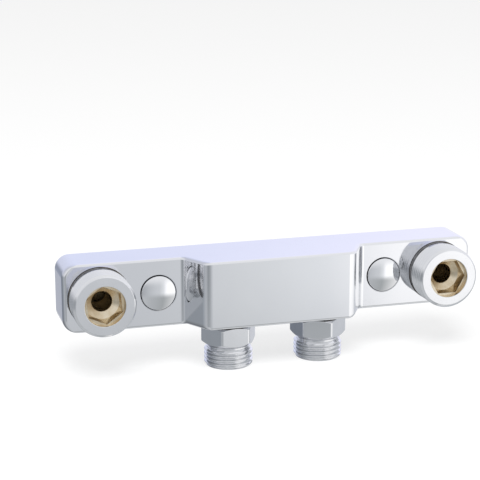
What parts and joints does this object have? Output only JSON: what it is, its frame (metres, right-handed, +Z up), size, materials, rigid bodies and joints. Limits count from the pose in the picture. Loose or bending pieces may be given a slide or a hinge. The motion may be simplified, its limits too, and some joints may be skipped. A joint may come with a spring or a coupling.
{
  "type": "mixer tap wall bracket",
  "caption": "Chromed brass wall bracket that joins hot and cold supply pipes to a mixer tap: a bar with a thicker centre block, threaded outlets in front, hexagon inlets below.",
  "frame": {"origin": "middle of the wall plane behind the bar, at the height of the outlet centres", "axes": "+X along the bar to the viewer's right, +Y into the wall, +Z up; the outlets point along -Y and the inlets along -Z"},
  "size_m": [0.1804, 0.0312, 0.0481],
  "materials": {
    "chrome_casting": "bright chrome plate over a polished brass casting",
    "chrome_nipple": "bright chrome plate over turned brass, bare brass inside",
    "chrome_cap": "bright chrome plate over a turned cap",
    "seal": "dark flat sealing ring, matt",
    "rubber_ring": "black rubber, smooth"
  },
  "bodies": {
    "root": {"bracket_body": "chrome_casting", "outlet_nipple_left": "chrome_nipple", "outlet_nipple_right": "chrome_nipple", "outlet_seal_left": "seal", "outlet_seal_right": "seal", "inlet_nipple_left": "chrome_nipple", "inlet_nipple_right": "chrome_nipple", "inlet_seal_left": "seal", "inlet_seal_right": "seal", "screw_cap_left": "chrome_cap", "screw_cap_right": "chrome_cap", "cap_ring_left": "rubber_ring", "cap_ring_right": "rubber_ring"}
  },
  "joints": []
}
